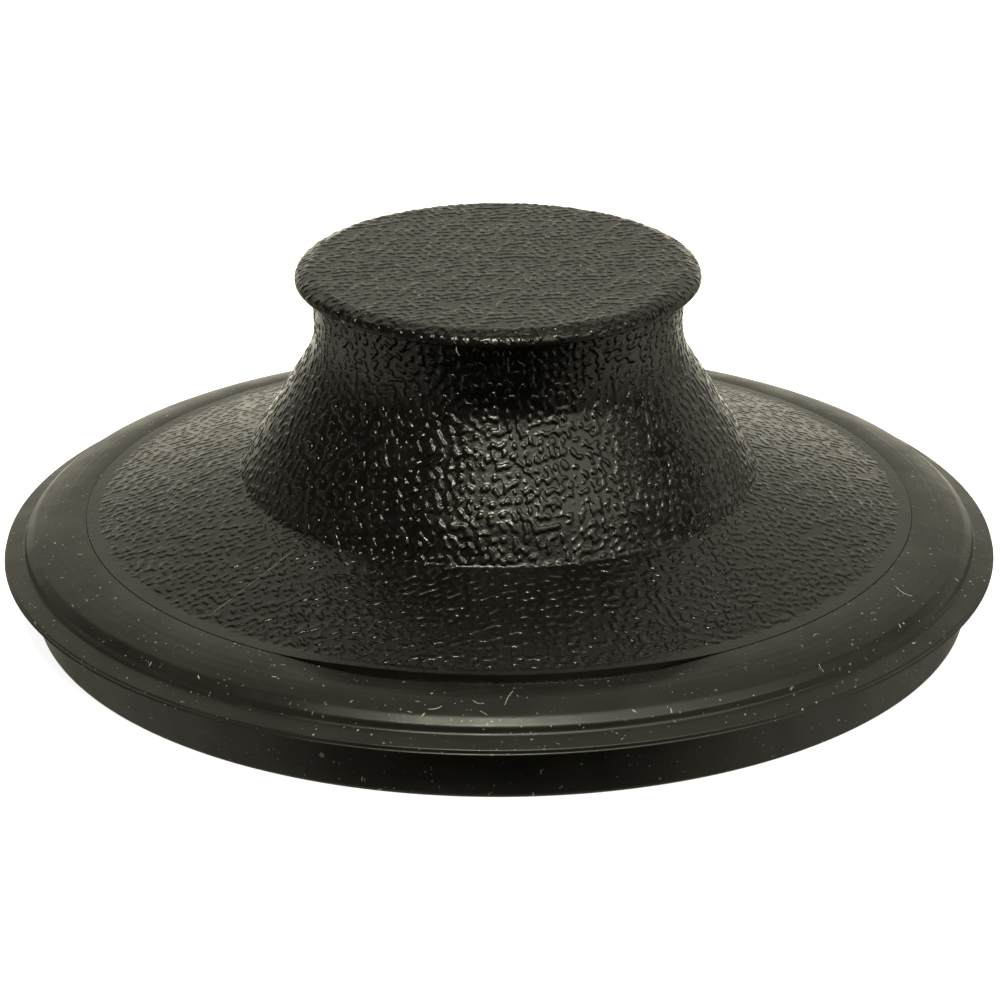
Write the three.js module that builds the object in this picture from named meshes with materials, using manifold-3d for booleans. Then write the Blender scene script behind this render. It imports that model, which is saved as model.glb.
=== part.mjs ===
// Sink stopper: a plug that closes the round opening of a kitchen sink's waste disposer.
// A hollow moulded body (flared neck and cone-shaped plate) carries a pressed-in knob cap
// and a rubber seal ring that is stretched over the plate's edge.
// Millimetres, +Z up, origin on the axis at the plane that the stopper stands on.

import * as THREE from 'three';
import { mergeVertices } from 'three/addons/utils/BufferGeometryUtils.js';
import Module from 'manifold-3d';

// ---- Driving dimensions -------------------------------------------------------------------

const flangeRadius = 43;        // 3-3/8 in across: covers the rim of the opening
const skirtRadius = 39.8;       // 3-1/8 in across: plugs the opening
const overallHeight = 30.5;
const knobRadius = 17.35;
const lipThickness = 1.2;
const waistRadius = 15.8;       // narrowest part of the neck, just under the knob
const footRadius = 22.45;       // where the neck meets the plate
const footHeight = 12.1;
const plateRadius = 35.8;       // where the plate meets the seal ring
const wall = 2.2;               // wall of both mouldings
const gap = 0.3;                // clearance between touching pieces
const neckAngle = 31.8;         // degrees between the neck's flare and the axis
const calfAngle = 26.7;         // the same for the last stretch above the foot
const calfHeight = 3;           // how tall that stretch is
const plateAngle = 16.4;        // degrees that the plate falls away towards its edge

const turnSegments = 60;        // facets around the axis
const filletStep = 30;          // degrees of turn for each facet of a rounded corner
const arcSegments = 8;          // facets along a rib's curved free edge
const mergeDistance = 1e-4;
const ribCount = 6;
const ribThickness = 1.6;

const slopeOf = (degrees) => Math.tan(THREE.MathUtils.degToRad(degrees));
const neckSlope = slopeOf(neckAngle);
const calfSlope = slopeOf(calfAngle);
const plateSlope = slopeOf(plateAngle);

// ---- Helpers --------------------------------------------------------------------------------

// An outline in the (radius, height) half-plane. Each corner is [radius, height] or
// [radius, height, fillet], and a corner with a fillet becomes an arc tangent to both sides.
function roundedOutline(corners, closed) {
  const points = [];
  const count = corners.length;
  corners.forEach(([radius, height, fillet = 0], index) => {
    const corner = new THREE.Vector2(radius, height);
    if (fillet === 0) {
      points.push(corner);
      return;
    }
    const before = new THREE.Vector2(...corners[(index + count - 1) % count]).sub(corner).normalize();
    const after = new THREE.Vector2(...corners[(index + 1) % count]).sub(corner).normalize();
    const halfAngle = Math.acos(THREE.MathUtils.clamp(before.dot(after), -1, 1)) / 2;
    const bisector = before.clone().add(after).normalize();
    const centre = corner.clone().addScaledVector(bisector, fillet / Math.sin(halfAngle));
    const start = corner.clone().addScaledVector(before, fillet / Math.tan(halfAngle));
    const sense = Math.sign(before.cross(after)) * -1;
    const turn = Math.PI - 2 * halfAngle;
    const steps = Math.max(1, Math.ceil(THREE.MathUtils.radToDeg(turn) / filletStep));
    for (let step = 0; step <= steps; step += 1) {
      points.push(start.clone().rotateAround(centre, (sense * turn * step) / steps));
    }
  });
  if (closed) {
    points.push(points[0].clone());
  }
  return points;
}

// Spins an outline around the +Z axis.
function turned(outline) {
  return new THREE.LatheGeometry(outline, turnSegments).rotateX(Math.PI / 2);
}

function named(name, geometry, material) {
  const mesh = new THREE.Mesh(geometry, material);
  mesh.name = name;
  return mesh;
}

const wasm = await Module();
wasm.setup();

function toSolid(geometry) {
  const bare = new THREE.BufferGeometry();
  bare.setAttribute('position', geometry.getAttribute('position').clone());
  if (geometry.index) {
    bare.setIndex(geometry.index.clone());
  }
  const merged = mergeVertices(bare, mergeDistance);
  return new wasm.Manifold(new wasm.Mesh({
    numProp: 3,
    vertProperties: new Float32Array(merged.getAttribute('position').array),
    triVerts: new Uint32Array(merged.index.array),
  }));
}

function toGeometry(solid) {
  const mesh = solid.getMesh();
  const geometry = new THREE.BufferGeometry();
  geometry.setAttribute('position', new THREE.BufferAttribute(mesh.vertProperties, mesh.numProp));
  geometry.setIndex(new THREE.BufferAttribute(mesh.triVerts, 1));
  geometry.computeVertexNormals();
  return geometry;
}

// ---- Materials --------------------------------------------------------------------------------

const plastic = new THREE.MeshStandardMaterial({ color: 0x1c1b19, roughness: 0.45, metalness: 0 });
const rubber = new THREE.MeshStandardMaterial({ color: 0x22211e, roughness: 0.55, metalness: 0 });

// ---- Stopper body -----------------------------------------------------------------------------

const lipUnderside = overallHeight - lipThickness;
const rimHeight = lipUnderside - gap;
const waistFlare = 0.3;                  // the neck opens again slightly towards its rim
const rimRadius = waistRadius + waistFlare;
const calfTop = footHeight + calfHeight;
const calfRadius = footRadius - calfHeight * calfSlope;
const waistLow = calfTop + (calfRadius - waistRadius) / neckSlope;
const waistHigh = (waistLow + rimHeight) / 2;
const waistFillet = 6;
const calfFillet = 8;
const footFillet = 0.6;
const innerFootFillet = 1.2;
const rimFillet = 0.275;
const boreRadius = waistRadius - wall;

const neckWallAcross = wall * Math.hypot(1, neckSlope);
const calfWallAcross = wall * Math.hypot(1, calfSlope);
const plateWallDown = wall * Math.hypot(1, plateSlope);
const plateTop = (radius) => footHeight - (radius - footRadius) * plateSlope;
const plateUnder = (radius) => plateTop(radius) - plateWallDown;

// The plate's edge rolls down to the crease, then steps in to the tongue under the seal ring.
const rollStart = plateRadius - 1.1;
const rollDrop = 0.2;
const rollFillet = 1.5;
const tongueRadius = plateRadius + 2.6;
const tongueDepth = 0.9;                 // how far the tongue's top lies below the plate's
const tongueTop = (radius) => plateTop(radius) - tongueDepth;

// The inner surface of the neck meets the underside of the plate here.
const innerFootRadius = footRadius - calfWallAcross + plateWallDown * calfSlope;
const innerFootHeight = plateUnder(innerFootRadius);
const innerCalfRadius = calfRadius - neckWallAcross;

const bodyOutline = roundedOutline([
  [boreRadius, rimHeight, rimFillet],
  [boreRadius, waistLow, waistFillet],
  [innerCalfRadius, calfTop, calfFillet],
  [innerFootRadius, innerFootHeight, innerFootFillet],
  [tongueRadius, plateUnder(tongueRadius), gap],
  [tongueRadius, tongueTop(tongueRadius), gap],
  [plateRadius, tongueTop(plateRadius)],
  [plateRadius, plateTop(plateRadius) - rollDrop],
  [rollStart, plateTop(rollStart), rollFillet],
  [footRadius, footHeight, footFillet],
  [calfRadius, calfTop, calfFillet],
  [waistRadius, waistLow, waistFillet],
  [waistRadius, waistHigh, waistFillet * 2],
  [rimRadius, rimHeight, rimFillet],
], true);

// A gusset stands in the corner between the neck and the plate. Its outer edge runs inside
// their walls, and its free edge runs from the neck's bore to just inside the tongue.
const ribClearance = 5;                  // from the rib's outer end to the tongue's edge

function ribShape() {
  const ribOuter = tongueRadius - ribClearance;
  const ribLow = plateUnder(ribOuter) - gap;
  const ribTop = waistLow - wall;
  const ribTopRadius = waistRadius + wall * neckSlope - neckWallAcross / 2;
  const ribInner = boreRadius + wall / 2;
  const shape = new THREE.Shape();
  shape.moveTo(ribOuter, ribLow);
  shape.lineTo(ribOuter, plateUnder(ribOuter) + plateWallDown / 2);
  shape.lineTo(innerFootRadius, plateUnder(innerFootRadius) + plateWallDown / 2);
  shape.lineTo(calfRadius - neckWallAcross / 2, calfTop);
  shape.lineTo(ribTopRadius, ribTop);
  shape.lineTo(ribInner, ribTop);
  shape.quadraticCurveTo(ribInner, ribLow, footRadius, ribLow);
  shape.closePath();
  return shape;
}

function ribGeometry(index) {
  const geometry = new THREE.ExtrudeGeometry(ribShape(), {
    depth: ribThickness,
    bevelEnabled: false,
    curveSegments: arcSegments,
  });
  geometry.translate(0, 0, -ribThickness / 2);
  geometry.rotateX(Math.PI / 2);
  geometry.rotateZ((index * 2 * Math.PI) / ribCount);
  return geometry;
}

let bodySolid = toSolid(turned(bodyOutline));
for (let index = 0; index < ribCount; index += 1) {
  bodySolid = bodySolid.add(toSolid(ribGeometry(index)));
}
const body = named('stopper_body', toGeometry(bodySolid), plastic);

// ---- Knob cap -----------------------------------------------------------------------------------

const discThickness = 1.8;
const discUnderside = overallHeight - discThickness;
const spigotThickness = 1.6;
const spigotLength = 3;
const spigotRadius = boreRadius - gap;
const spigotInner = spigotRadius - spigotThickness;
const spigotBottom = lipUnderside - spigotLength;
const bevelWidth = 1.35;                 // the top slopes gently down to the knob's rim
const bevelDrop = 0.5;
const bevelFillet = 0.8;
const lipTopFillet = 0.3;
const lipUnderFillet = 0.2;

const capOutline = roundedOutline([
  [0, discUnderside],
  [spigotInner, discUnderside],
  [spigotInner, spigotBottom],
  [spigotRadius, spigotBottom, gap],
  [spigotRadius, lipUnderside],
  [knobRadius, lipUnderside, lipUnderFillet],
  [knobRadius, overallHeight - bevelDrop, lipTopFillet],
  [knobRadius - bevelWidth, overallHeight, bevelFillet],
  [0, overallHeight],
], false);
const cap = named('knob_cap', turned(capOutline), plastic);

// ---- Seal ring ------------------------------------------------------------------------------------

const flangeThickness = 0.45;
const flangeTop = 5.45;                  // height of the flange's outer edge
const flangeUnder = flangeTop - flangeThickness;
const edgeFillet = 0.15;
const stepRadius = flangeRadius - 1.85;  // foot of the step between flange and crown
const stepFoot = flangeTop + 0.8;
const stepTop = stepFoot + 0.4;
const creaseRadius = plateRadius + gap;
const creaseTop = plateTop(plateRadius) - rollDrop;
const crownRadius = creaseRadius + 2.2;  // the ring's top is crowned, and highest about here
const crownTop = creaseTop + gap / 4;
const crownFillet = 6;
const shoulderRadius = stepRadius - 0.8;
const shoulderTop = stepTop + 0.55;
const shoulderFillet = 1;

const skirtTopRadius = skirtRadius + gap;
const skirtThickness = wall;
const skirtInner = skirtRadius - skirtThickness;
const skirtFillet = 0.5;
const flangeFillet = 0.9;

// The groove keeps its clearance around the tongue on every side.
const slant = gap * Math.hypot(1, plateSlope);
const grooveRadius = tongueRadius + gap;
const grooveTop = (radius) => tongueTop(radius) + slant;
const grooveUnder = (radius) => plateUnder(radius) - slant;
const lowerLipRadius = rollStart;
const lowerLipThickness = 1.2;
const lowerLipUnder = (radius) => grooveUnder(radius) - lowerLipThickness;

const ringOutline = roundedOutline([
  [skirtInner, 0, skirtFillet],
  [skirtRadius, 0, skirtFillet],
  [skirtTopRadius, flangeUnder, flangeFillet],
  [flangeRadius, flangeUnder, edgeFillet],
  [flangeRadius, flangeTop, edgeFillet],
  [stepRadius, stepFoot, gap],
  [stepRadius - edgeFillet, stepTop, gap],
  [shoulderRadius, shoulderTop, shoulderFillet],
  [crownRadius, crownTop, crownFillet],
  [creaseRadius, creaseTop, edgeFillet],
  [creaseRadius, grooveTop(creaseRadius)],
  [grooveRadius, grooveTop(grooveRadius)],
  [grooveRadius, grooveUnder(grooveRadius)],
  [lowerLipRadius, grooveUnder(lowerLipRadius), gap],
  [lowerLipRadius, lowerLipUnder(lowerLipRadius), gap],
  [skirtInner, lowerLipUnder(skirtInner), flangeFillet],
], true);
const ring = named('seal_ring', turned(ringOutline), rubber);

// ---- Assembly ---------------------------------------------------------------------------------------

const stopper = new THREE.Group();
stopper.add(body, cap, ring);

export default stopper;
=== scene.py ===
"""Sink stopper: a grained body with a flared neck, a grained knob cap and a smooth rubber seal ring.

Each piece is turned from an outline in the (radius, height) half-plane. The moulded leather grain is real
relief on the dense meshes, and the same wave field sharpens it in the materials.
"""

import math
import random

import bmesh
import bpy
import numpy as np
from mathutils import Euler, Matrix, Quaternion, Vector


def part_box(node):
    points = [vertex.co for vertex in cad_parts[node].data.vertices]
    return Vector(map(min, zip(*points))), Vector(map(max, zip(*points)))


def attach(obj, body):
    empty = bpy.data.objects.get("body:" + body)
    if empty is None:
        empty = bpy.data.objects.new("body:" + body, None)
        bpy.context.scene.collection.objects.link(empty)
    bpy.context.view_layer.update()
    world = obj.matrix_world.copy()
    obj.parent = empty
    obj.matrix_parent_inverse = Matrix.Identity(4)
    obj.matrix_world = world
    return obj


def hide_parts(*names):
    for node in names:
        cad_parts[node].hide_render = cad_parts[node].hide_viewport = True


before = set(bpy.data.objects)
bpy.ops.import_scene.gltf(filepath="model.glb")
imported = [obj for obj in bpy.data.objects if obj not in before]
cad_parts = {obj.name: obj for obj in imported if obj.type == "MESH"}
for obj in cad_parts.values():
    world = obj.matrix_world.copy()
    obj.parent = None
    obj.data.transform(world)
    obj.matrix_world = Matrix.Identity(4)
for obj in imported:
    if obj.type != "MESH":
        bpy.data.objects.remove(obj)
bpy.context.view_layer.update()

MM = 0.001
TAU = math.tau

# ---- Sizes, from the frame -----------------------------------------------------------------------

body_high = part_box("stopper_body")[1]
cap_low, cap_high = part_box("knob_cap")
ring_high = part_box("seal_ring")[1]

GAP = 0.3 * MM  # clearance that the CAD leaves between pieces
SEAM = 0.04 * MM  # clearance left in the looks, where the real pieces touch
WALL = 2.2 * MM
FLANGE_RADIUS = ring_high.x
KNOB_RADIUS = cap_high.x
TOP = cap_high.z
TONGUE_RADIUS = body_high.x
LIP_UNDER = body_high.z + GAP

WAIST_RADIUS = KNOB_RADIUS - 1.55 * MM
WAIST_FLARE = 0.3 * MM  # how much wider the neck is right under the lip
FOOT_RADIUS = FLANGE_RADIUS - 20.55 * MM
FOOT_HEIGHT = TOP - 18.4 * MM
CALF_HEIGHT = 3 * MM  # the last stretch of the neck above its foot, a little steeper than the rest
PLATE_RADIUS = TONGUE_RADIUS - 2.6 * MM
FLANGE_TOP = 5.45 * MM
NECK_SLOPE = math.tan(math.radians(31.8))
CALF_SLOPE = math.tan(math.radians(26.7))
PLATE_SLOPE = math.tan(math.radians(16.4))

# ---- Camera --------------------------------------------------------------------------------------

CAMERA_DISTANCE = 367.6 * MM
CAMERA_ELEVATION = math.radians(23.24)
CAMERA_ROLL = math.radians(-0.2)
CAMERA_LENS = 151.4  # mm
CAMERA_SENSOR = 36.0  # mm
CAMERA_NEAR = 10 * MM
AIM_RIGHT = 0.1 * MM  # the camera aims this far to the right of the axis
AIM_UP = 2.93 * MM  # and this far above the flange


def make_camera():
    data = bpy.data.cameras.new("camera")
    camera = bpy.data.objects.new("camera", data)
    bpy.context.collection.objects.link(camera)
    data.sensor_width = CAMERA_SENSOR
    data.lens = CAMERA_LENS
    data.clip_start = CAMERA_NEAR
    target = Vector((0, 0, FLANGE_TOP))
    back = Vector((0, -math.cos(CAMERA_ELEVATION), math.sin(CAMERA_ELEVATION)))
    up = Vector((0, math.sin(CAMERA_ELEVATION), math.cos(CAMERA_ELEVATION)))
    camera.location = target + back * CAMERA_DISTANCE
    aim = target + up * AIM_UP + Vector((AIM_RIGHT, 0, 0))
    turn = (aim - camera.location).to_track_quat("-Z", "Y")
    camera.rotation_euler = (turn @ Quaternion((0, 0, 1), CAMERA_ROLL)).to_euler()
    bpy.context.scene.camera = camera


# ---- Outlines and turned meshes ------------------------------------------------------------------


ARC_STEP = math.radians(9)


def rounded(corners):
    """A path through (radius, height, fillet) corners. Each fillet is an arc tangent to both sides."""
    points = []
    for index, (radius, height, fillet) in enumerate(corners):
        corner = Vector((radius, height))
        if fillet == 0:
            points.append(corner)
            continue
        before = (Vector(corners[index - 1][:2]) - corner).normalized()
        after = (Vector(corners[(index + 1) % len(corners)][:2]) - corner).normalized()
        half = before.angle(after) / 2
        turn = math.pi - 2 * half
        centre = corner + (before + after).normalized() * (fillet / math.sin(half))
        start = corner + before * (fillet / math.tan(half)) - centre
        sense = -math.copysign(1, before.cross(after))
        steps = max(1, math.ceil(turn / ARC_STEP))
        for number in range(steps + 1):
            angle = sense * turn * number / steps
            spun = Vector(
                (
                    start.x * math.cos(angle) - start.y * math.sin(angle),
                    start.x * math.sin(angle) + start.y * math.cos(angle),
                )
            )
            points.append(centre + spun)
    return np.array([tuple(point) for point in points])


def evenly(path, spacing):
    """The same path with a point about every spacing along it."""
    steps = np.hypot(*np.diff(path, axis=0).T)
    along = np.concatenate([[0], np.cumsum(steps)])
    count = max(2, round(along[-1] / spacing) + 1)
    places = np.linspace(0, along[-1], count)
    return np.stack([np.interp(places, along, path[:, axis]) for axis in (0, 1)], axis=1)


def outward(path, closed):
    """The unit normal at each point of a path that runs anticlockwise around its material."""
    if closed:
        run = np.roll(path, -1, axis=0) - np.roll(path, 1, axis=0)
    else:
        run = np.gradient(path, axis=0)
    normal = np.stack([run[:, 1], -run[:, 0]], axis=1)
    return normal / np.linalg.norm(normal, axis=1, keepdims=True)


def angles_of(columns):
    return np.linspace(0, TAU, columns, endpoint=False)


def spin(path, columns):
    """Positions (rows, columns, 3) of a path spun around the Z axis."""
    angles = angles_of(columns)
    around = np.stack([np.cos(angles), np.sin(angles)], axis=1)
    flat = path[:, None, :1] * around[None, :, :]
    height = np.broadcast_to(path[:, None, 1:], flat.shape[:2] + (1,))
    return np.concatenate([flat, height], axis=2)


def turned(name, places, closed, poles=()):
    """A mesh object from spun positions. Poles are heights on the axis that close its two ends."""
    rows, columns = places.shape[:2]
    index = np.arange(rows * columns).reshape(rows, columns)
    this, right = index, np.roll(index, -1, axis=1)
    if closed:
        above, above_right = np.roll(this, -1, axis=0), np.roll(right, -1, axis=0)
    else:
        this, right, above, above_right = this[:-1], right[:-1], index[1:], right[1:]
    quads = np.stack([this, right, above_right, above], axis=-1).reshape(-1, 4).tolist()
    points = places.reshape(-1, 3)
    ends = []
    for pole, ring in zip(poles, (index[0][::-1], index[-1])):
        centre = len(points)
        points = np.concatenate([points, [[0, 0, pole]]])
        ends += [[int(a), int(b), centre] for a, b in zip(ring, np.roll(ring, -1))]
    mesh = bpy.data.meshes.new(name)
    mesh.from_pydata(points.tolist(), [], quads + ends)
    mesh.shade_smooth()
    piece = bpy.data.objects.new(name, mesh)
    bpy.context.collection.objects.link(piece)
    return piece


def around(azimuth, radius, height):
    """A point at an azimuth in degrees from the near side, positive to the right."""
    angle = math.radians(azimuth - 90)
    return (radius * math.cos(angle), radius * math.sin(angle), height)


THREAD_SIDES = 6
THREAD_STEPS = 14


def curl(start, middle, end):
    """Points along a smooth bend from start to end that leans to the middle one."""
    shares = np.linspace(0, 1, THREAD_STEPS)[:, None]
    start, middle, end = (np.array(place) for place in (start, middle, end))
    return (1 - shares) ** 2 * start + 2 * shares * (1 - shares) * middle + shares**2 * end


def add_threads(piece, paths, radius):
    """Adds thin threads to a piece. The attribute pale tells the material where they are."""
    whole = bmesh.new()
    whole.from_mesh(piece.data)
    pale = whole.verts.layers.float.new("pale")
    for path in paths:
        loops = []
        for place, run in zip(path, np.gradient(path, axis=0)):
            turn = Vector(run).to_track_quat("Z", "Y")
            loop = []
            for angle in angles_of(THREAD_SIDES):
                spot = Vector((math.cos(angle), math.sin(angle), 0)) * radius
                vert = whole.verts.new(Vector(place) + turn @ spot)
                vert[pale] = 1.0
                loop.append(vert)
            loops.append(loop)
        for lower, upper in zip(loops, loops[1:]):
            for side in range(THREAD_SIDES):
                face = whole.faces.new((lower[side - 1], lower[side], upper[side], upper[side - 1]))
                face.smooth = True
        whole.faces.new(loops[0][::-1])
        whole.faces.new(loops[-1])
    whole.to_mesh(piece.data)
    whole.free()


def set_grain_share(piece, share, columns, poles=()):
    """Tells the material how deep the grain is at each point. The underside and the edges have none."""
    values = np.concatenate([np.repeat(share, columns), poles])
    attribute = piece.data.attributes.new("grain_share", "FLOAT", "POINT")
    attribute.data.foreach_set("value", values.astype(np.float32))


def hump(angles, centre, half_width):
    """A smooth hump over angles, 1 at the centre. Angles are compared the short way round."""
    away = np.angle(np.exp(1j * (angles - centre)))
    return np.exp(-((away / half_width) ** 2))


def smoothstep(low, high, value):
    """0 at low and 1 at high, with a smooth start and end. The limits may be in either order."""
    share = np.clip((value - low) / (high - low), 0, 1)
    return share * share * (3 - 2 * share)


# ---- The crease between the plate and the ring ---------------------------------------------------

CREASE_WIDTH = 0.01 * MM  # between the plate's edge and the ring
CREASE_STEP = 0.3 * MM  # how far the ring's inner edge would lie under the plate's edge
CREASE_CLOSED = 0.9  # share of that step that the ring's edge rises where the crease is closed
CREASE_OPENING = 0.25 * MM  # how much lower the ring's inner edge hangs where the crease is open
EDGE_BACK = 0.5 * MM  # how much smaller the plate is there, above its tongue
CREASE_SHUT_AT = math.radians(31)  # from the near side
CREASE_OPEN_AT = math.radians(12)


def near_side(columns):
    """1 where the crease between the plate and the ring is open, at the near side, and 0 elsewhere."""
    toward = -np.sin(angles_of(columns))
    return smoothstep(math.cos(CREASE_SHUT_AT), math.cos(CREASE_OPEN_AT), toward)


# ---- Leather grain -------------------------------------------------------------------------------

GRAIN_DEPTH = 0.1 * MM
GRAIN_PITCH = 0.76 * MM
GRAIN_SPACING = 0.15 * MM  # between the mesh's points
MESH_SHARE = 0.6  # how much of the depth the mesh carries, the rest is bump
BUMP_SHARE = 1.3 * (1 - MESH_SHARE)  # a little more than the rest
PEBBLE_FOOT = -0.2  # field strength where a pebble starts to rise from the valleys
PEBBLE_TOP = 1.3  # and where it is full height
PLATE_GRAIN = 0.8  # the grain is shallower where the mould's draw is steeper
GRAIN_SEED = 11
TRIADS = 9  # each is three plane waves at right angles
PITCH_SPREAD = (0.75, 1.3)
WAVE_WEIGHT = 1 / math.sqrt(1.5 * TRIADS)  # so that the field's standard deviation is 1


def make_waves(draw):
    """Plane waves in random directions, three at right angles at a time: (turn, wave number, phases)."""
    waves = []
    for _ in range(TRIADS):
        turn = Euler([draw.uniform(0, TAU) for _ in range(3)])
        number = TAU / (GRAIN_PITCH * draw.uniform(*PITCH_SPREAD))
        phases = tuple(draw.uniform(0, TAU) for _ in range(3))
        waves.append((turn, number, phases))
    return waves


WAVES = make_waves(random.Random(GRAIN_SEED))


def grain_height(places):
    """0 in the valleys and 1 on the pebbles, at each position."""
    flat = places.reshape(-1, 3)
    total = np.zeros(len(flat))
    for turn, number, phases in WAVES:
        waves = flat @ (np.array(turn.to_matrix()) * number).T + phases
        total += np.sin(waves).sum(axis=1) * WAVE_WEIGHT
    return smoothstep(PEBBLE_FOOT, PEBBLE_TOP, total).reshape(places.shape[:2])


def grain_lift(places, share):
    """How far the grain moves each point along its normal. The pebbles' tops stay where they are."""
    return (grain_height(places) - 1) * share[:, None] * GRAIN_DEPTH * MESH_SHARE


# ---- Materials -----------------------------------------------------------------------------------


class Recipe:
    """A material's node tree, with short names for the nodes that the recipes below repeat."""

    def __init__(self, name):
        self.material = bpy.data.materials.new(name)
        self.material.use_nodes = True
        self.tree = self.material.node_tree
        self.shader = self.tree.nodes["Principled BSDF"]
        self.place = self.tree.nodes.new("ShaderNodeTexCoord").outputs["Object"]

    @classmethod
    def of_world(cls, world):
        """A recipe for the world's own nodes, where toward is the direction that light comes from."""
        recipe = cls.__new__(cls)
        recipe.tree = world.node_tree
        recipe.shader = recipe.tree.nodes["Background"]
        recipe.toward = recipe.tree.nodes.new("ShaderNodeTexCoord").outputs["Generated"]
        return recipe

    def node(self, kind, inputs=None, **settings):
        node = self.tree.nodes.new(kind)
        for key, value in settings.items():
            setattr(node, key, value)
        for key, value in (inputs or {}).items():
            if isinstance(value, bpy.types.NodeSocket):
                self.tree.links.new(value, node.inputs[key])
            else:
                node.inputs[key].default_value = value
        return node

    def math(self, operation, first, second=0.0):
        return self.node("ShaderNodeMath", {0: first, 1: second}, operation=operation).outputs[0]

    def vector(self, operation, first, second=(0, 0, 0), output="Vector"):
        made = self.node("ShaderNodeVectorMath", {0: first, 1: second}, operation=operation)
        return made.outputs[output]

    def ramp(self, value, low, high, to_low=0.0, to_high=1.0):
        """A smooth step between two levels. The limits may be in either order."""
        made = self.node(
            "ShaderNodeMapRange",
            {"Value": value, "From Min": low, "From Max": high, "To Min": to_low, "To Max": to_high},
            interpolation_type="SMOOTHSTEP",
        )
        return made.outputs["Result"]

    def noise(self, size, detail=2.0, place=None, roughness=0.5):
        inputs = {"Vector": place or self.place, "Scale": 1 / size, "Detail": detail, "Roughness": roughness}
        return self.node("ShaderNodeTexNoise", inputs).outputs["Fac"]

    def mix(self, share, first, second):
        """The first colour where the share is 0 and the second where it is 1."""
        made = self.node("ShaderNodeMix", {"Factor": share, 6: first, 7: second}, data_type="RGBA")
        return made.outputs[2]

    def bump(self, height, distance, normal=None):
        inputs = {"Height": height, "Distance": distance, "Strength": 1.0}
        if normal:
            inputs["Normal"] = normal
        return self.node("ShaderNodeBump", inputs).outputs["Normal"]

    def set(self, **sockets):
        """Links or sets the shader's sockets, which are named with _ for a space."""
        for key, value in sockets.items():
            socket = self.shader.inputs[key.replace("_", " ")]
            if isinstance(value, bpy.types.NodeSocket):
                self.tree.links.new(value, socket)
            else:
                socket.default_value = value

    def grain(self):
        """The wave field of grain_height, as a height from 0 to 1."""
        total = 0.0
        for turn, number, phases in WAVES:
            waves = self.node(
                "ShaderNodeMapping",
                {"Vector": self.place, "Location": phases, "Rotation": turn, "Scale": (number,) * 3},
            )
            sines = self.vector("SINE", waves.outputs["Vector"])
            total = self.math("ADD", self.vector("DOT_PRODUCT", sines, (WAVE_WEIGHT,) * 3, "Value"), total)
        return self.ramp(total, PEBBLE_FOOT, PEBBLE_TOP)

    def along(self, direction, start):
        """How far each place lies from start, measured along a direction."""
        reach = self.vector("DOT_PRODUCT", self.place, direction, "Value")
        return self.math("SUBTRACT", reach, start.dot(direction))

    def scratch(self, start, end):
        """The strength of a faint scratch that runs, seen from above, from start to end."""
        run = (end - start).normalized()
        across = Vector((-run.y, run.x, 0))
        length = (end - start).length
        wander = self.math("SUBTRACT", self.noise(SCRATCH_BEND), 0.5)
        wander = self.math("MULTIPLY", wander, SCRATCH_WANDER)
        away = self.math("ABSOLUTE", self.math("ADD", self.along(across, start), wander))
        line = self.ramp(away, SCRATCH_EDGE, SCRATCH_CORE, 0.0, SCRATCH_STRENGTH)
        reach = self.along(run, start)
        line = self.math("MULTIPLY", line, self.ramp(reach, 0.0, SCRATCH_TAPER))
        line = self.math("MULTIPLY", line, self.ramp(reach, length, length - SCRATCH_TAPER))
        return self.math("MULTIPLY", line, self.ramp(self.noise(SCRATCH_BREAKS), *SCRATCH_BROKEN))

    def attribute(self, name):
        return self.node("ShaderNodeAttribute", attribute_name=name).outputs["Fac"]

    def specks(self, size, share, stretch=(1, 1, 1), turn=(0, 0, 0)):
        """1 on specks of about this size, in this share of the places where one could lie."""
        scale = tuple(1 / (SPECK_SPACING * size * axis) for axis in stretch)
        place = self.node("ShaderNodeMapping", {"Vector": self.place, "Rotation": turn}).outputs["Vector"]
        place = self.vector("MULTIPLY", place, scale)
        cells = self.node("ShaderNodeTexVoronoi", {"Vector": place, "Scale": 1.0})
        chance = self.node("ShaderNodeSeparateXYZ", {"Vector": cells.outputs["Color"]}).outputs
        near = self.ramp(cells.outputs["Distance"], *SPECK_EDGE)
        lies = self.math("LESS_THAN", chance["X"], share)
        speck = self.math("MULTIPLY", near, lies)
        return self.math("MULTIPLY", speck, self.ramp(chance["Y"], 0, 1, SPECK_FAINTEST, 1.0))


# The scratch on the plate: its two ends, seen from above, then its look.
SCRATCH = (Vector((-24.0, -24.7, 0)) * MM, Vector((-16.5, -16.9, 0)) * MM)
SCRATCH_BEND = 3 * MM  # length over which it wanders to one side
SCRATCH_WANDER = 0.5 * MM
SCRATCH_EDGE = 0.1 * MM  # distance from its middle where it is gone
SCRATCH_CORE = 0.04 * MM  # and where it is full
SCRATCH_STRENGTH = 0.2
SCRATCH_TAPER = 1.5 * MM
SCRATCH_BREAKS = 0.6 * MM  # size of the breaks in it
SCRATCH_BROKEN = (0.25, 0.5)  # noise values where it is gone and where it is whole

SPECK_SPACING = 6  # speck sizes between the places where one could lie
SPECK_EDGE = (0.12, 0.06)  # where a speck fades in and is full, as shares of that spacing
SPECK_FAINTEST = 0.3

NOISE_RANGE = (0.3, 0.7)  # nearly all of a noise texture's values lie in it

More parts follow.
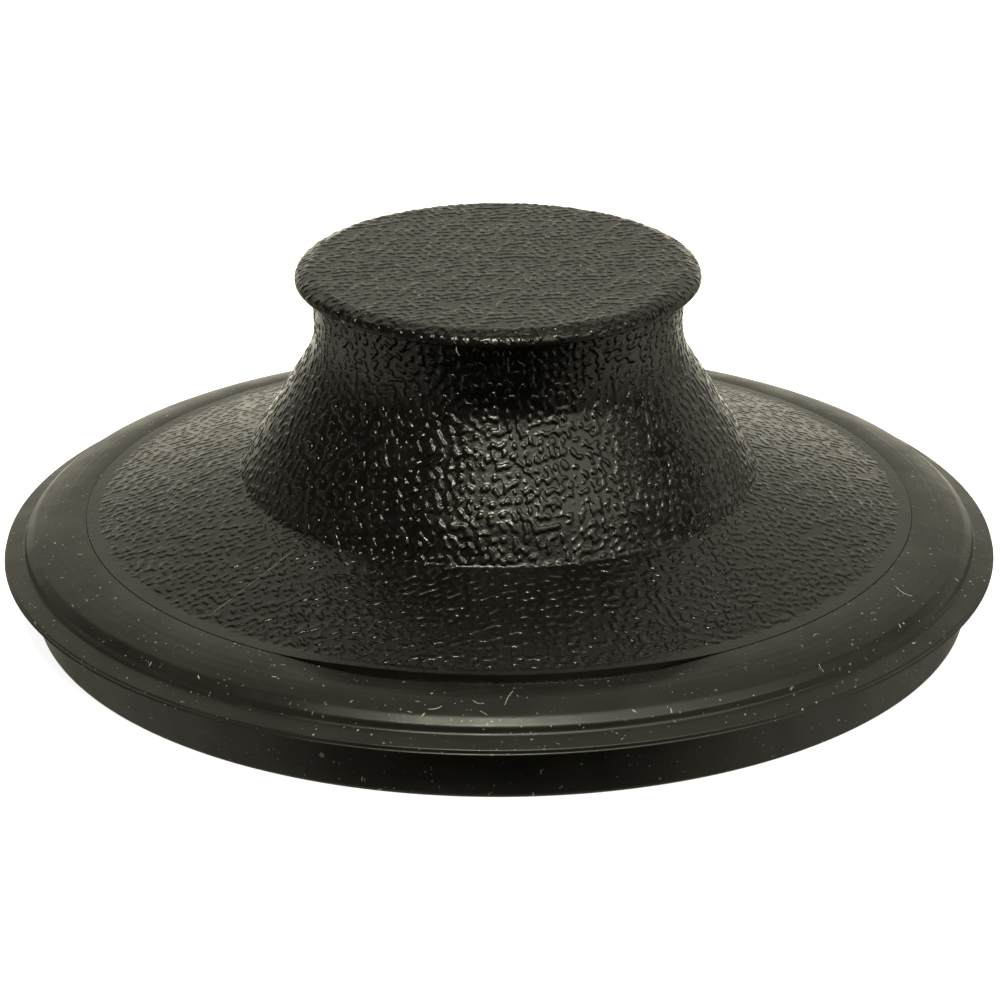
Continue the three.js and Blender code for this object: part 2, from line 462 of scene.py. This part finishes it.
BLACK_PLASTIC = (0.0036, 0.0035, 0.0032, 1)
WORN_PLASTIC = (0.0065, 0.0063, 0.0056, 1)
# Painted shade: a darker colour for the grain's valleys, standing in for the shadow between the pebbles.
VALLEY_SHADE_PLASTIC = (0.0020, 0.0020, 0.0018, 1)
WORN_PATCH = 9 * MM  # size of the rubbed patches
WORN_FADE = (0.42, 0.66)  # noise values where the worn colour starts and where it is full
PLASTIC_PORE = 0.3 * MM
PORE_DEPTH = 0.03 * MM
PLASTIC_GLOSS_PATCH = 2.4 * MM
PLASTIC_ROUGHNESS = (0.2, 0.29)
PLASTIC_DUST = (0.1 * MM, 0.02)  # size and share

BLACK_RUBBER = (0.0095, 0.0092, 0.0080, 1)
PALE_RUBBER = (0.0145, 0.0141, 0.0121, 1)
CLOUD = 7 * MM  # size of the paler clouds
CLOUD_FADE = (0.4, 0.7)  # noise values where the paler colour starts and where it is full
SKIN = 0.25 * MM
SKIN_DEPTH = 0.012 * MM
SWELL = 5 * MM  # size of the slight unevenness
SWELL_DEPTH = 0.05 * MM
RUBBER_GLOSS_PATCH = 3 * MM
RUBBER_ROUGHNESS = (0.34, 0.42)

DUST = (0.42, 0.41, 0.38, 1)
DUST_GRADES = ((0.19 * MM, 0.3), (0.13 * MM, 0.5), (0.09 * MM, 0.6))  # size and share
LINT = (0.1 * MM, 0.2, (4, 1, 4))  # size, share and stretch
LINT_TURNS = (0.3, 1.2, 2.3)


def plastic_material():
    recipe = Recipe("grained_plastic")
    height = recipe.grain()
    share = recipe.attribute("grain_share")
    worn = recipe.ramp(recipe.noise(WORN_PATCH, 3), *WORN_FADE)
    colour = recipe.mix(worn, BLACK_PLASTIC, WORN_PLASTIC)
    # Painted shade: the valleys between the pebbles are darkened in the colour, as deep as the grain goes,
    # in place of their self-shadowing.
    painted_valley_shade = recipe.math("MULTIPLY", recipe.math("SUBTRACT", 1.0, height), share)
    colour = recipe.mix(painted_valley_shade, colour, VALLEY_SHADE_PLASTIC)
    pale = recipe.math("MAXIMUM", recipe.specks(*PLASTIC_DUST), recipe.attribute("pale"))
    pale = recipe.math("MAXIMUM", pale, recipe.scratch(*SCRATCH))
    colour = recipe.mix(pale, colour, DUST)
    pores = recipe.noise(PLASTIC_PORE, 3, roughness=0.6)
    normal = recipe.bump(pores, PORE_DEPTH)
    relief = recipe.math("MULTIPLY", height, share)
    normal = recipe.bump(relief, GRAIN_DEPTH * BUMP_SHARE, normal)
    roughness = recipe.ramp(recipe.noise(PLASTIC_GLOSS_PATCH, 3), *NOISE_RANGE, *PLASTIC_ROUGHNESS)
    recipe.set(Base_Color=colour, Roughness=roughness, Normal=normal)
    return recipe.material


def rubber_material():
    recipe = Recipe("smooth_rubber")
    cloudy = recipe.ramp(recipe.noise(CLOUD, 4), *CLOUD_FADE)
    colour = recipe.mix(cloudy, BLACK_RUBBER, PALE_RUBBER)
    normal = recipe.bump(recipe.noise(SKIN, 3), SKIN_DEPTH)
    normal = recipe.bump(recipe.noise(SWELL, 2), SWELL_DEPTH, normal)
    roughness = recipe.ramp(recipe.noise(RUBBER_GLOSS_PATCH, 3), *NOISE_RANGE, *RUBBER_ROUGHNESS)
    pale = recipe.attribute("pale")
    for grade in DUST_GRADES:
        pale = recipe.math("MAXIMUM", pale, recipe.specks(*grade))
    for turn in LINT_TURNS:
        pale = recipe.math("MAXIMUM", pale, recipe.specks(*LINT, (0, 0, turn)))
    colour = recipe.mix(pale, colour, DUST)
    recipe.set(Base_Color=colour, Roughness=roughness, Normal=normal)
    return recipe.material


# ---- Stopper body --------------------------------------------------------------------------------


def plate_top(radius):
    return FOOT_HEIGHT - (radius - FOOT_RADIUS) * PLATE_SLOPE


BAND_RADIUS = PLATE_RADIUS - 1.1 * MM  # where the grain ends and a smooth, flatter band runs to the edge
EDGE_TOP = plate_top(BAND_RADIUS) - 0.13 * MM
PLATE_WALL = WALL * math.hypot(1, PLATE_SLOPE)
NECK_WALL = WALL * math.hypot(1, NECK_SLOPE)
CALF_WALL = WALL * math.hypot(1, CALF_SLOPE)
TONGUE_DROP = 0.9 * MM  # from the plate's surface down to the tongue's top
BODY_COLUMNS = 1200
GRAIN_END = (BAND_RADIUS + 0.15 * MM, BAND_RADIUS - 0.35 * MM)  # radii where it is gone and where it is full
SMOOTH_UNDER_LIP = 0.6 * MM
FOOT_BLEND = 0.4 * MM  # above and below the foot, where the plate's grain passes into the neck's

BAND_FILLET = 1.5 * MM
FOOT_FILLET = 0.25 * MM
CALF_FILLET = 8 * MM
WAIST_FILLET = 6 * MM
FLARE_FILLET = 12 * MM
CORNER_FILLET = 1.2 * MM  # inside, where the neck's wall meets the plate's
TONGUE_FILLET = 0.3 * MM

RIB_COUNT = 6
RIB_THICKNESS = 1.6 * MM
RIB_INSET = 5 * MM  # from the tongue's edge in to the ribs
RIB_STEPS = 24  # along its curved free edge
RIB_SHARP = 1.0  # radians between two faces at an edge that gets rounded
RIB_ROUNDING = 0.25 * MM
RIB_ROUNDING_STEPS = 3


def rib_outline(waist_low, calf_top, calf_radius, bore, foot_in):
    """The (radius, height) outline of a gusset. Its upper sides lie inside the plate and the neck's wall."""
    outer = TONGUE_RADIUS - RIB_INSET
    low = plate_top(outer) - PLATE_WALL - GAP
    top = waist_low - WALL
    inner = bore + WALL / 2
    outline = [
        (outer, low),
        (outer, plate_top(outer) - PLATE_WALL / 2),
        (foot_in, plate_top(foot_in) - PLATE_WALL / 2),
        (calf_radius - NECK_WALL / 2, calf_top),
        (WAIST_RADIUS + WALL * NECK_SLOPE - NECK_WALL / 2, top),
    ]
    for step in range(RIB_STEPS + 1):
        share = step / RIB_STEPS
        radius = inner + (FOOT_RADIUS - inner) * share * share
        outline.append((radius, top + (low - top) * (1 - (1 - share) ** 2)))
    return outline


def keep_corner(body, row, columns):
    """Marks the edges along one row of a turned mesh as sharp."""
    ends = np.empty(2 * len(body.data.edges), dtype=np.int32)
    body.data.edges.foreach_get("vertices", ends)
    along = (ends.reshape(-1, 2) // columns == row).all(axis=1)
    sharp = body.data.attributes.new("sharp_edge", "BOOLEAN", "EDGE")
    sharp.data.foreach_set("value", along)


def make_rib(outline):
    """A gusset along the X axis, as a bmesh, with its free edges rounded."""
    rib = bmesh.new()
    near = [rib.verts.new((radius, -RIB_THICKNESS / 2, height)) for radius, height in outline]
    far = [rib.verts.new((radius, RIB_THICKNESS / 2, height)) for radius, height in outline]
    rib.faces.new(near[::-1])
    rib.faces.new(far)
    for index in range(len(outline)):
        rib.faces.new((near[index - 1], near[index], far[index], far[index - 1]))
    bmesh.ops.recalc_face_normals(rib, faces=rib.faces)
    free_edges = []
    for edge in rib.edges:
        first, second = edge.verts
        if edge.calc_face_angle() > RIB_SHARP and first.co.y == second.co.y:
            free_edges.append(edge)
    bmesh.ops.bevel(
        rib,
        geom=free_edges,
        offset=RIB_ROUNDING,
        segments=RIB_ROUNDING_STEPS,
        affect="EDGES",
        profile=0.5,
    )
    return rib


def add_ribs(body, outline):
    whole = bmesh.new()
    whole.from_mesh(body.data)
    for number in range(RIB_COUNT):
        rib = make_rib(outline)
        turn = Matrix.Rotation(TAU * number / RIB_COUNT, 3, "Z")
        bmesh.ops.rotate(rib, cent=(0, 0, 0), matrix=turn, verts=rib.verts)
        for face in rib.faces:
            face.smooth = len(face.verts) == 4
        mesh = bpy.data.meshes.new("rib")
        rib.to_mesh(mesh)
        rib.free()
        whole.from_mesh(mesh)
        bpy.data.meshes.remove(mesh)
    whole.to_mesh(body.data)
    whole.free()


def make_body(material):
    rim = LIP_UNDER - SEAM
    calf_top = FOOT_HEIGHT + CALF_HEIGHT
    calf_radius = FOOT_RADIUS - CALF_HEIGHT * CALF_SLOPE
    waist_low = calf_top + (calf_radius - WAIST_RADIUS) / NECK_SLOPE
    waist_high = (waist_low + rim) / 2
    bore = WAIST_RADIUS - WALL
    tongue_top = plate_top(TONGUE_RADIUS) - TONGUE_DROP
    tongue_under = plate_top(TONGUE_RADIUS) - PLATE_WALL
    foot_in = FOOT_RADIUS - CALF_WALL + PLATE_WALL * CALF_SLOPE

    shown = rounded(
        [
            (PLATE_RADIUS, EDGE_TOP, 0),
            (BAND_RADIUS, plate_top(BAND_RADIUS), BAND_FILLET),
            (FOOT_RADIUS, FOOT_HEIGHT, FOOT_FILLET),
            (calf_radius, calf_top, CALF_FILLET),
            (WAIST_RADIUS, waist_low, WAIST_FILLET),
            (WAIST_RADIUS, waist_high, FLARE_FILLET),
            (WAIST_RADIUS + WAIST_FLARE, rim, 0),
        ]
    )
    shown = evenly(shown, GRAIN_SPACING)
    hidden = rounded(
        [
            (bore, rim, 0),
            (bore, waist_low, WAIST_FILLET),
            (calf_radius - NECK_WALL, calf_top, CALF_FILLET),
            (foot_in, plate_top(foot_in) - PLATE_WALL, CORNER_FILLET),
            (TONGUE_RADIUS, tongue_under, TONGUE_FILLET),
            (TONGUE_RADIUS, tongue_top, TONGUE_FILLET),
            (PLATE_RADIUS, plate_top(PLATE_RADIUS) - TONGUE_DROP, 0),
        ]
    )
    path = np.concatenate([hidden, shown])
    corner_row = len(hidden)
    places = spin(path, BODY_COLUMNS)
    back = smoothstep(BAND_RADIUS, PLATE_RADIUS, path[:, 0]) * EDGE_BACK / PLATE_RADIUS
    back[: corner_row - 1] = 0
    places[:, :, :2] *= 1 - (back[:, None] * near_side(BODY_COLUMNS))[:, :, None]
    normals = spin(outward(path, True), BODY_COLUMNS)
    edge = smoothstep(*GRAIN_END, path[:, 0])
    under_lip = smoothstep(rim, rim - SMOOTH_UNDER_LIP, path[:, 1])
    steep = smoothstep(FOOT_HEIGHT - FOOT_BLEND, FOOT_HEIGHT + FOOT_BLEND, path[:, 1])
    share = edge * under_lip * (PLATE_GRAIN + (1 - PLATE_GRAIN) * steep)
    share[:corner_row] = 0
    places += normals * grain_lift(places, share)[:, :, None]
    body = turned("stopper_body_grained", places, True)
    set_grain_share(body, share, BODY_COLUMNS)
    keep_corner(body, corner_row, BODY_COLUMNS)
    add_ribs(body, rib_outline(waist_low, calf_top, calf_radius, bore, foot_in))
    body.data.materials.append(material)
    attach(body, "root")
    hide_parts("stopper_body")


# ---- Knob cap ------------------------------------------------------------------------------------

CAP_COLUMNS = 900
LIP_SPACING = 0.12 * MM  # between the mesh's points
SPIGOT_WALL = 1.6 * MM
DISC_THICKNESS = 1.8 * MM
SPIGOT_FILLET = 0.2 * MM
SPIGOT_LEAD = 0.3 * MM  # the rounding that leads the spigot into the neck
LIP_BEVEL = (1.35 * MM, 0.5 * MM)  # across and down
LIP_SHARP = 0.12 * MM
LIP_FILLET = 0.75 * MM
BEVEL_FILLET = 0.8 * MM
SMOOTH_RIM = 0.7 * MM  # from the top down to where the lip's grain starts to fade

GATE_AT = math.radians(-140)
GATE_HALF_WIDTH = 0.6 * MM
GATE_DEPTH = 0.35 * MM
GATE_REACH = 1 * MM  # from the lip's edge inwards

FLASH_RADIUS = 0.05 * MM
# The tick of flash that hangs from the lip: (degrees to the right of the near side, radius, height).
FLASH_TICK = [
    (-11.3, KNOB_RADIUS - 0.25 * MM, LIP_UNDER + 0.1 * MM),
    (-11.8, KNOB_RADIUS + 0.1 * MM, LIP_UNDER - 0.3 * MM),
    (-10.6, KNOB_RADIUS - 0.1 * MM, LIP_UNDER - 0.75 * MM),
]


def make_cap(material):
    spigot = WAIST_RADIUS - WALL - SEAM
    spigot_in = spigot - SPIGOT_WALL
    disc_under = TOP - DISC_THICKNESS
    bevel_across, bevel_down = LIP_BEVEL
    under = rounded(
        [
            (GRAIN_SPACING, disc_under, 0),
            (spigot_in, disc_under, SPIGOT_FILLET),
            (spigot_in, cap_low.z, SPIGOT_FILLET),
            (spigot, cap_low.z, SPIGOT_LEAD),
            (spigot, LIP_UNDER, 0),
        ]
    )
    lip = rounded(
        [
            (spigot, LIP_UNDER, 0),
            (KNOB_RADIUS, LIP_UNDER, LIP_SHARP),
            (KNOB_RADIUS, TOP - bevel_down, LIP_FILLET),
            (KNOB_RADIUS - bevel_across, TOP, BEVEL_FILLET),
            (GRAIN_SPACING, TOP, 0),
        ]
    )
    lip = evenly(lip, LIP_SPACING)
    path = np.concatenate([under[:-1], lip])
    places = spin(path, CAP_COLUMNS)
    normals = spin(outward(path, False), CAP_COLUMNS)
    share = smoothstep(LIP_UNDER, TOP - SMOOTH_RIM, path[:, 1]) * PLATE_GRAIN
    places += normals * grain_lift(places, share)[:, :, None]
    gate = hump(angles_of(CAP_COLUMNS), GATE_AT, GATE_HALF_WIDTH / KNOB_RADIUS)
    reach = smoothstep(KNOB_RADIUS - GATE_REACH, KNOB_RADIUS, path[:, :1])
    places[:, :, :2] *= 1 - (GATE_DEPTH / KNOB_RADIUS * gate * reach)[:, :, None]
    cap = turned("knob_cap_grained", places, False, poles=(disc_under, places[-1, :, 2].mean()))
    set_grain_share(cap, share, CAP_COLUMNS, (0, PLATE_GRAIN))
    add_threads(cap, [curl(*(around(*spot) for spot in FLASH_TICK))], FLASH_RADIUS)
    cap.data.materials.append(material)
    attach(cap, "root")
    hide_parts("knob_cap")


# ---- Seal ring -----------------------------------------------------------------------------------

RING_COLUMNS = 900
RING_SPACING = 0.1 * MM  # between the mesh's points

SKIRT_INSET = 2.45 * MM  # from the flange's edge in to the skirt
SKIRT_WALL = 2.95 * MM
SKIRT_TAPER = 0.1 * MM
SKIRT_SHIFT = 0.15 * MM  # the soft skirt stands a little to one side of the plate
SKIRT_FILLET = 0.5 * MM
UNDER_FLANGE_FILLET = 0.9 * MM
FLANGE_THICKNESS = 0.45 * MM
FLANGE_EDGE_FILLET = 0.05 * MM
FLASH = 0.1 * MM  # the flash line along the flange's lower edge

STEP_INSET = 1.85 * MM  # from the flange's edge in to the step
STEP_FOOT = 0.53 * MM  # above the flange's top
STEP_HEIGHT = 0.62 * MM
STEP_LEAN = (0.05 * MM, -0.1 * MM)  # how far the step's foot stands out, and its top
STEP_FILLET = 0.35 * MM
SHOULDER = (0.75 * MM, 0.6 * MM)  # in from the step and up from its top
SHOULDER_FILLET = 1 * MM
CROWN_WIDTH = 2.4 * MM  # from the crease out to where the ring starts to fall
CROWN_FILLET = 6 * MM
CROWN_BEND = 0.6 * MM  # how much farther out the crown still follows the crease
CREASE_CORNER = 0.02 * MM

LIP_CORNER = 0.3 * MM
LIP_THICKNESS = 1.2 * MM  # of the lip under the plate's tongue
LIP_TO_SKIRT = 0.9 * MM

HAIR_RADIUS = 0.035 * MM
# Hairs that lie on the ring. Each starts, leans and ends at (degrees to the right of the near side, mm from
# the axis).
HAIRS = [
    ((0.6, 39.3), (1.0, 38.2), (2.1, 36.7)),
    ((-8.1, 39.9), (-7.0, 39.9), (-6.6, 39.5)),
    ((-3.1, 38.8), (-2.5, 39.3), (-1.8, 39.1)),
    ((-2.2, 39.9), (-1.7, 40.1), (-1.4, 40.3)),
    ((62.6, 36.7), (60.2, 38.4), (61.4, 39.1)),
    ((39.6, 40.3), (39.4, 40.6), (39.6, 40.9)),
    ((42.7, 37.6), (43.2, 37.3), (43.6, 37.6)),
]


def lay_hairs(path, places, crease):
    """The paths of the hairs, laid on the top of the ring's turned surface."""
    top = np.flatnonzero((path[:, 1] > FLANGE_TOP) & (path[:, 0] > crease))[::-1]
    hairs = []
    for spots in HAIRS:
        hair = []
        for azimuth, radius in curl(*spots):
            column = round((azimuth - 90) / 360 * RING_COLUMNS) % RING_COLUMNS
            height = np.interp(radius * MM, path[top, 0], places[top, column, 2])
            hair.append(around(azimuth, radius * MM, height + HAIR_RADIUS / 2))
        hairs.append(np.array(hair))
    return hairs


def groove_top(radius):
    """The top of the groove that grips the plate's tongue."""
    return plate_top(radius) - TONGUE_DROP + SEAM * math.hypot(1, PLATE_SLOPE)


def groove_under(radius):
    return plate_top(radius) - PLATE_WALL - SEAM * math.hypot(1, PLATE_SLOPE)


def make_ring(material):
    skirt_radius = FLANGE_RADIUS - SKIRT_INSET
    skirt_inner = skirt_radius - SKIRT_WALL
    flange_under = FLANGE_TOP - FLANGE_THICKNESS
    flange_edge = FLANGE_RADIUS - FLASH
    step_radius = FLANGE_RADIUS - STEP_INSET
    step_foot = FLANGE_TOP + STEP_FOOT
    step_top = step_foot + STEP_HEIGHT
    foot_out, top_out = STEP_LEAN
    shoulder_in, shoulder_up = SHOULDER
    crease = PLATE_RADIUS + CREASE_WIDTH
    crease_top = EDGE_TOP - CREASE_STEP
    crown = crease + CROWN_WIDTH
    groove = TONGUE_RADIUS + SEAM
    lip_in = BAND_RADIUS
    path = rounded(
        [
            (skirt_inner, 0, SKIRT_FILLET),
            (skirt_radius, 0, SKIRT_FILLET),
            (skirt_radius - SKIRT_TAPER, flange_under, UNDER_FLANGE_FILLET),
            (FLANGE_RADIUS, flange_under, 0),
            (FLANGE_RADIUS, flange_under + FLASH, 0),
            (flange_edge, flange_under + FLASH, 0),
            (flange_edge, FLANGE_TOP, FLANGE_EDGE_FILLET),
            (step_radius + foot_out, step_foot, STEP_FILLET),
            (step_radius + top_out, step_top, STEP_FILLET),
            (step_radius - shoulder_in, step_top + shoulder_up, SHOULDER_FILLET),
            (crown, crease_top, CROWN_FILLET),
            (crease, crease_top, CREASE_CORNER),
            (crease, groove_top(crease), 0),
            (groove, groove_top(groove), 0),
            (groove, groove_under(groove), 0),
            (lip_in, groove_under(lip_in), LIP_CORNER),
            (lip_in, groove_under(lip_in) - LIP_THICKNESS, LIP_CORNER),
            (skirt_inner, groove_under(skirt_inner) - LIP_THICKNESS, LIP_TO_SKIRT),
        ]
    )
    path = np.concatenate([path, path[:1]])
    path = evenly(path, RING_SPACING)[:-1]
    places = spin(path, RING_COLUMNS)
    sag = smoothstep(flange_under, 0, path[:, 1]) * smoothstep(crease, skirt_inner, path[:, 0])
    places[:, :, 0] += sag[:, None] * SKIRT_SHIFT
    on_top = path[:, 1] > crease_top - CREASE_STEP
    near_crease = smoothstep(crown + CROWN_BEND, crease, path[:, 0]) * on_top
    near = near_side(RING_COLUMNS)
    rise = CREASE_CLOSED * CREASE_STEP * (1 - near) - CREASE_OPENING * near
    places[:, :, 2] += near_crease[:, None] * rise
    ring = turned("seal_ring_smooth", places, True)
    add_threads(ring, lay_hairs(path, places, crease), HAIR_RADIUS)
    ring.data.materials.append(material)
    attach(ring, "root")
    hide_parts("seal_ring")


# ---- Studio --------------------------------------------------------------------------------------


WHITE = (1, 1, 1, 1)
FLOOR_HALF = 3.0  # m
FLOOR_PALE = (0.85, 0.85, 0.85, 1)
FLOOR_GLOW = 0.9


def make_floor():
    """A pale floor with a glow, so that it takes only a faint shadow. The object doesn't mirror it."""
    mesh = bpy.data.meshes.new("floor")
    corners = [(x * FLOOR_HALF, y * FLOOR_HALF, 0) for x, y in ((-1, -1), (1, -1), (1, 1), (-1, 1))]
    mesh.from_pydata(corners, [], [(0, 1, 2, 3)])
    floor = bpy.data.objects.new("floor", mesh)
    bpy.context.collection.objects.link(floor)
    recipe = Recipe("pale_floor")
    recipe.set(Base_Color=FLOOR_PALE, Roughness=1.0, Emission_Color=WHITE, Emission_Strength=FLOOR_GLOW)
    floor.data.materials.append(recipe.material)
    floor.visible_glossy = False
    floor.visible_diffuse = False


LIGHT_TINT = (1.0, 0.95, 0.76, 1)
KEY_TOWARD = Euler((math.radians(30), 0, math.radians(-8))).to_matrix() @ Vector((0, 0, 1))
KEY_EDGE = math.cos(math.radians(7))
KEY_CORE = math.cos(math.radians(5))
LOWEST = 0.02  # keeps the divisions by z finite at the horizon

# Each light is (name, strength, [(axis, where it starts to fade in, where it is full), ...]). The axes are
# those of the direction: x right, y away from the camera, z up, across = x / z, along = y / z, and key = how
# close it is to the lamp.
LIGHTS = [
    (
        "panel",
        2.3,
        [("across", -0.2, -0.05), ("across", 2.0, 1.5), ("along", -1.5, -1.3), ("along", 0.6, -1.0)],
    ),
    ("key", 60.0, [("key", KEY_EDGE, KEY_CORE)]),
    (
        "back_wall",
        0.5,
        [("y", 0.1, 0.5), ("z", 0.62, 0.3), ("z", -0.05, 0.1), ("x", -0.85, -0.5), ("x", 1.1, 0.8)],
    ),
    ("back_floor", 1.25, [("y", 0.4, 0.8), ("z", 0.2, 0.0), ("x", -0.65, -0.3), ("x", 0.65, 0.3)]),
    ("back_table", 1.8, [("y", 0.4, 0.8), ("z", -0.1, -0.3), ("x", -0.3, -0.15), ("x", 0.3, 0.15)]),
    ("back_upper", 0.62, [("y", 0.35, 0.6), ("x", 0.6, 0.35), ("x", -0.6, -0.35), ("z", 0.3, 0.55)]),
    ("right_wall", 0.4, [("x", 0.5, 0.9), ("z", 0.3, 0.12)]),
    ("left_wall", 0.2, [("x", -0.5, -0.9), ("z", 0.3, 0.12)]),
    ("right_table", 0.35, [("x", 0.5, 0.9), ("z", -0.1, -0.3)]),
    ("left_table", 0.4, [("x", -0.5, -0.9), ("z", -0.1, -0.3)]),
    ("left_fill", 0.06, [("x", -0.2, -0.6)]),
    ("floor_bounce", 0.5, [("z", -0.65, -0.95)]),
    ("fill", 0.005, []),
]


def make_world():
    """A studio with a soft panel above and to the right, a lamp above the camera, and pale walls around."""
    world = bpy.data.worlds.new("studio")
    bpy.context.scene.world = world
    world.use_nodes = True
    recipe = Recipe.of_world(world)
    x, y, z = recipe.node("ShaderNodeSeparateXYZ", {"Vector": recipe.toward}).outputs
    above = recipe.math("MAXIMUM", z, LOWEST)
    axes = {
        "x": x,
        "y": y,
        "z": z,
        "across": recipe.math("DIVIDE", x, above),
        "along": recipe.math("DIVIDE", y, above),
        "key": recipe.vector("DOT_PRODUCT", recipe.toward, KEY_TOWARD, "Value"),
    }
    light = 0.0
    for _, strength, limits in LIGHTS:
        patch = strength
        for axis, low, high in limits:
            patch = recipe.math("MULTIPLY", recipe.ramp(axes[axis], low, high), patch)
        light = recipe.math("ADD", light, patch)
    seen = recipe.node("ShaderNodeLightPath").outputs["Is Camera Ray"]
    colour = recipe.mix(seen, LIGHT_TINT, WHITE)
    strength = recipe.node("ShaderNodeMix", {0: seen, 2: light, 3: 1.0}, data_type="FLOAT").outputs[0]
    recipe.set(Color=colour, Strength=strength)


make_camera()
make_world()
make_floor()
plastic = plastic_material()
make_body(plastic)
make_cap(plastic)
make_ring(rubber_material())
bpy.context.scene.view_settings.view_transform = "Standard"
